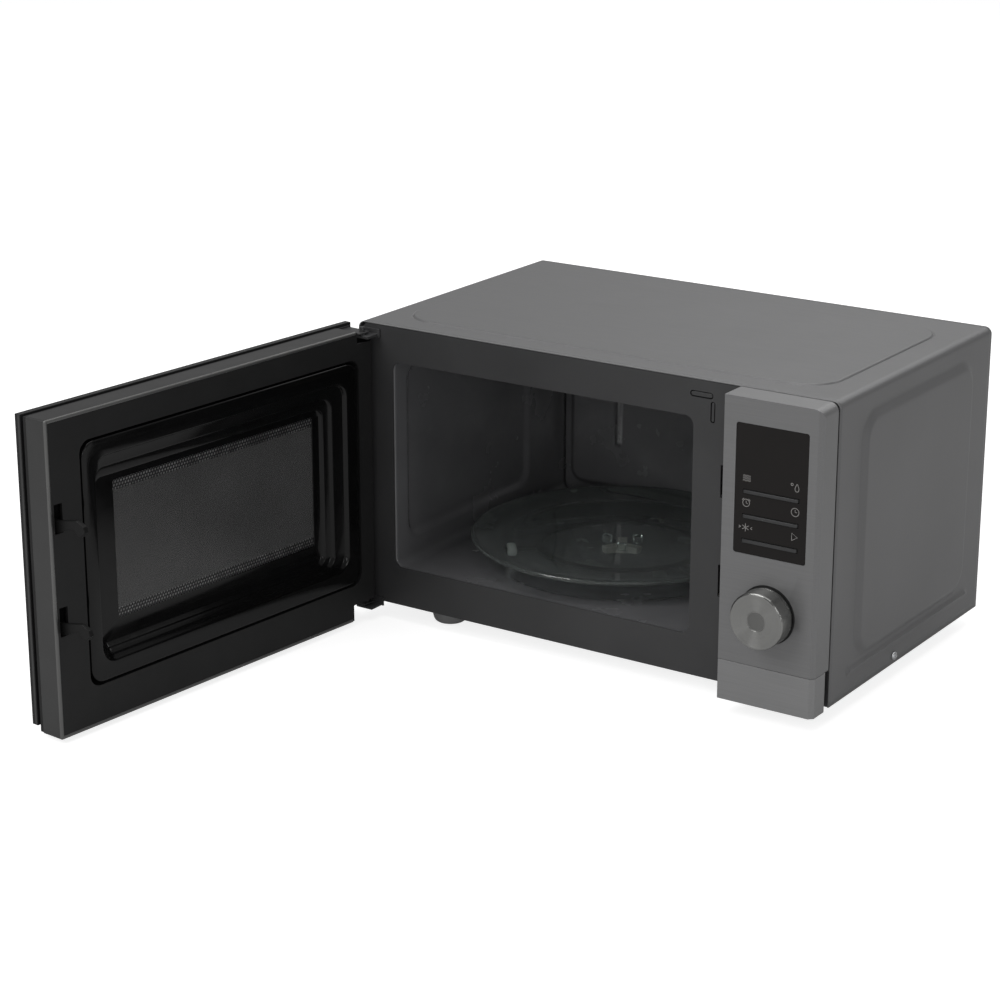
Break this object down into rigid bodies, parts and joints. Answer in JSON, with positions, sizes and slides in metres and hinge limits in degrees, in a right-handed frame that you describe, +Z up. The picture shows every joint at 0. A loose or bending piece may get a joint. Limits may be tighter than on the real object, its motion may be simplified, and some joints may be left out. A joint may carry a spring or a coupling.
{
  "type": "microwave oven",
  "caption": "Countertop microwave oven with a side-hinged door standing open, glass turntable, dark control panel with rocker keys and a round knob.",
  "frame": {"origin": "centre of the base plate's underside", "axes": "+X right seen from the front, +Y to the back, +Z up"},
  "size_m": [0.4891, 0.6252, 0.255],
  "materials": {
    "casing_paint": "satin metallic",
    "frame_paint": "satin",
    "cavity_paint": "semi-gloss",
    "panel_plastic": "satin metallic",
    "dark_plastic": "matte",
    "gloss_black": "gloss",
    "white_plastic": "matte",
    "grey_rubber": "matte",
    "zinc_steel": "zinc-plated",
    "knob_metal": "spun brushed",
    "copper_winding": "varnished",
    "circuit_board": "satin",
    "mica": "matte",
    "tray_glass": "clear",
    "smoked_glass": "clear",
    "lamp_glass": "clear"
  },
  "bodies": {
    "cabinet": {"outer_casing": "casing_paint", "rear_panel": "frame_paint", "front_frame": "frame_paint", "bay_front_plate": "frame_paint", "upper_hinge_bracket": "frame_paint", "lower_hinge_bracket": "frame_paint", "cavity_shell": "cavity_paint", "control_panel": "panel_plastic", "cord_gland": "dark_plastic", "cavity_thermal_cutout": "dark_plastic", "high_voltage_diode": "dark_plastic", "display_module": "dark_plastic", "interlock_switch_monitor": "dark_plastic", "interlock_switch_secondary": "dark_plastic", "interlock_switch_primary": "dark_plastic", "display_window": "gloss_black", "cooling_fan_shroud": "white_plastic", "interlock_bracket": "white_plastic", "foot_front_left": "grey_rubber", "foot_front_right": "grey_rubber", "foot_rear_left": "grey_rubber", "foot_rear_right": "grey_rubber", "base_plate": "zinc_steel", "case_screw_left": "zinc_steel", "case_screw_right": "zinc_steel", "rear_screw_left": "zinc_steel", "rear_screw_right": "zinc_steel", "waveguide": "zinc_steel", "magnetron": "zinc_steel", "high_voltage_capacitor": "zinc_steel", "cooling_fan_motor": "zinc_steel", "turntable_motor": "zinc_steel", "door_button_spring": "zinc_steel", "rotary_encoder": "zinc_steel", "high_voltage_transformer": "copper_winding", "noise_filter": "circuit_board", "control_board": "circuit_board", "waveguide_cover": "mica", "cavity_lamp": "lamp_glass"},
    "fan": {"cooling_fan_blade": "white_plastic"},
    "turntable": {"turntable_coupler": "white_plastic"},
    "tray": {"glass_tray": "tray_glass"},
    "roller_carrier": {"roller_ring": "dark_plastic"},
    "wheel_1": {"roller_wheel_1": "white_plastic"},
    "wheel_2": {"roller_wheel_2": "white_plastic"},
    "wheel_3": {"roller_wheel_3": "white_plastic"},
    "key_menu": {"rocker_key_menu": "dark_plastic"},
    "key_timer": {"rocker_key_timer": "dark_plastic"},
    "key_start": {"rocker_key_start": "dark_plastic"},
    "button": {"door_button": "panel_plastic"},
    "slider": {"release_slider": "white_plastic"},
    "knob": {"control_knob": "knob_metal"},
    "door": {"door_frame": "dark_plastic", "door_front_panel": "panel_plastic", "door_front_glass": "smoked_glass", "door_steel_panel": "frame_paint", "door_choke_cover": "gloss_black", "door_inner_sheet": "smoked_glass", "door_latch_spring": "zinc_steel"},
    "door_latch": {"door_latch_hooks": "gloss_black"}
  },
  "joints": [
    {"name": "door_hinge", "type": "hinge", "parent": "cabinet", "child": "door", "pos_m": [-0.2103, -0.1425, 0], "axis": [0, 0, 1], "range_deg": [-5, 95.3]},
    {"name": "door_latch_slide", "type": "slide", "parent": "door", "child": "door_latch", "axis": [0, 0, 1], "range_m": [0, 0.004], "stiffness_N_per_m": 150, "springref_m": -0.004, "deforming": ["door_latch_spring"]},
    {"name": "door_button_press", "type": "slide", "parent": "cabinet", "child": "button", "axis": [0, 1, 0], "range_m": [0, 0.004], "stiffness_N_per_m": 400, "springref_m": -0.002, "deforming": ["door_button_spring"]},
    {"name": "release_slider_lift", "type": "slide", "parent": "cabinet", "child": "slider", "axis": [0, 0, 1], "range_m": [0, 0.003]},
    {"name": "knob_turn", "type": "hinge", "parent": "cabinet", "child": "knob", "pos_m": [0.1792, -0.161, 0.075], "axis": [0, -1, 0], "continuous": true},
    {"name": "turntable_turn", "type": "hinge", "parent": "cabinet", "child": "turntable", "pos_m": [-0.0447, -0.002, 0.0325], "axis": [0, 0, 1], "continuous": true},
    {"name": "tray_lift", "type": "slide", "parent": "turntable", "child": "tray", "axis": [0, 0, 1], "range_m": [0, 0.04]},
    {"name": "roller_ring_turn", "type": "hinge", "parent": "cabinet", "child": "roller_carrier", "pos_m": [-0.0447, -0.002, 0.0391], "axis": [0, 0, 1], "continuous": true},
    {"name": "fan_turn", "type": "hinge", "parent": "cabinet", "child": "fan", "pos_m": [0.1584, 0.11, 0.145], "axis": [0, 1, 0], "continuous": true},
    {"name": "menu_key_rock", "type": "hinge", "parent": "cabinet", "child": "key_menu", "pos_m": [0.1792, -0.1568, 0.1688], "axis": [0, 0, 1], "range_deg": [-1.5, 1.5], "stiffness_Nm_per_rad": 0.5},
    {"name": "timer_key_rock", "type": "hinge", "parent": "cabinet", "child": "key_timer", "pos_m": [0.1792, -0.1568, 0.1495], "axis": [0, 0, 1], "range_deg": [-1.5, 1.5], "stiffness_Nm_per_rad": 0.5},
    {"name": "start_key_rock", "type": "hinge", "parent": "cabinet", "child": "key_start", "pos_m": [0.1792, -0.1568, 0.1302], "axis": [0, 0, 1], "range_deg": [-1.5, 1.5], "stiffness_Nm_per_rad": 0.5},
    {"name": "roller_wheel_1_turn", "type": "hinge", "parent": "roller_carrier", "child": "wheel_1", "pos_m": [-0.11548, -0.06573, 0.0391], "axis": [-0.7431, -0.6691, 0], "continuous": true},
    {"name": "roller_wheel_2_turn", "type": "hinge", "parent": "roller_carrier", "child": "wheel_2", "pos_m": [0.04589, -0.03143, 0.0391], "axis": [0.9511, -0.309, 0], "continuous": true},
    {"name": "roller_wheel_3_turn", "type": "hinge", "parent": "roller_carrier", "child": "wheel_3", "pos_m": [-0.0645, 0.09117, 0.0391], "axis": [-0.2079, 0.9781, 0], "continuous": true}
  ],
  "couplings": [
    {"joint": "release_slider_lift", "follows": "door_button_press", "ratio": 0.75},
    {"joint": "roller_ring_turn", "follows": "turntable_turn", "ratio": 0.5},
    {"joint": "roller_wheel_1_turn", "follows": "turntable_turn", "ratio": -7.5595},
    {"joint": "roller_wheel_2_turn", "follows": "turntable_turn", "ratio": -7.5595},
    {"joint": "roller_wheel_3_turn", "follows": "turntable_turn", "ratio": -7.5595}
  ]
}
